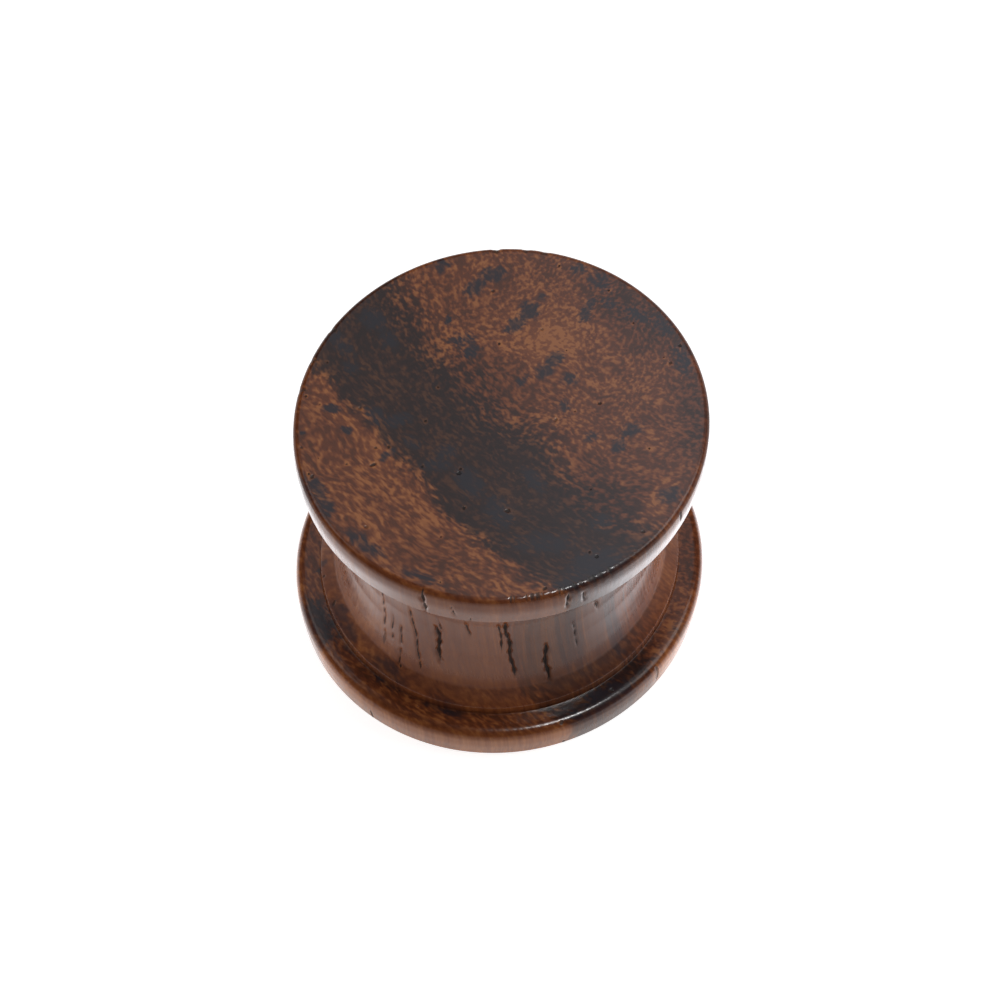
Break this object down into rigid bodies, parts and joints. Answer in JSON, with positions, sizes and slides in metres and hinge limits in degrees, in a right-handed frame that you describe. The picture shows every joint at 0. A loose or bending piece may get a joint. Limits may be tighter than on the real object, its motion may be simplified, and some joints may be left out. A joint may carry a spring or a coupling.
{
  "type": "ear plug gauge",
  "caption": "Double flared ear plug gauge of solid dark figured wood, with flat end faces, banded flares and a saddle-shaped wearing groove with a fine step at each end.",
  "frame": {"origin": "centre of the lower end face, on which the plug stands", "axes": "+Z along the plug's axis, from the lower end face to the upper one; +Y away from the picture's camera"},
  "size_m": [0.0202, 0.0202, 0.015],
  "materials": {
    "wood": "polished"
  },
  "bodies": {
    "root": {"plug": "wood"}
  },
  "joints": []
}
